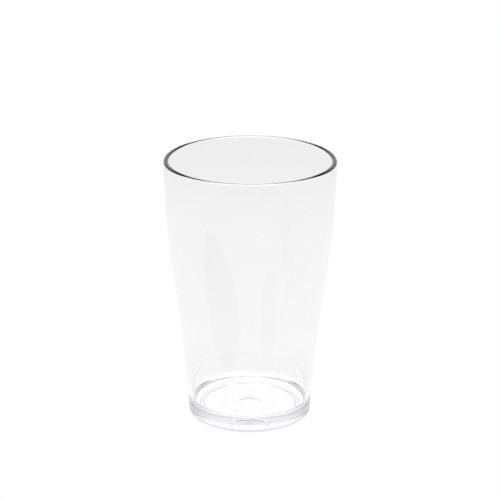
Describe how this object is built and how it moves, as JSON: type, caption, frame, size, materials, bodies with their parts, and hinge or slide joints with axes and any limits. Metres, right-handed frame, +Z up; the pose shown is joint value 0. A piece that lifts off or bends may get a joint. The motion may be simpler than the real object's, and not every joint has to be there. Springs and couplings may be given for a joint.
{
  "type": "pint glass",
  "caption": "Clear beer tumbler that flares from a heavy foot and turns upright at a full-round lip; holds a pint to the brim.",
  "frame": {"origin": "centre of the foot bead's resting plane", "axes": "+Z up along the axis of revolution, from the foot to the mouth; X and Y lie in the resting plane"},
  "size_m": [0.0892, 0.0892, 0.1408],
  "materials": {
    "clear_plastic": "polished clear, as moulded"
  },
  "bodies": {
    "root": {"tumbler": "clear_plastic"}
  },
  "joints": []
}
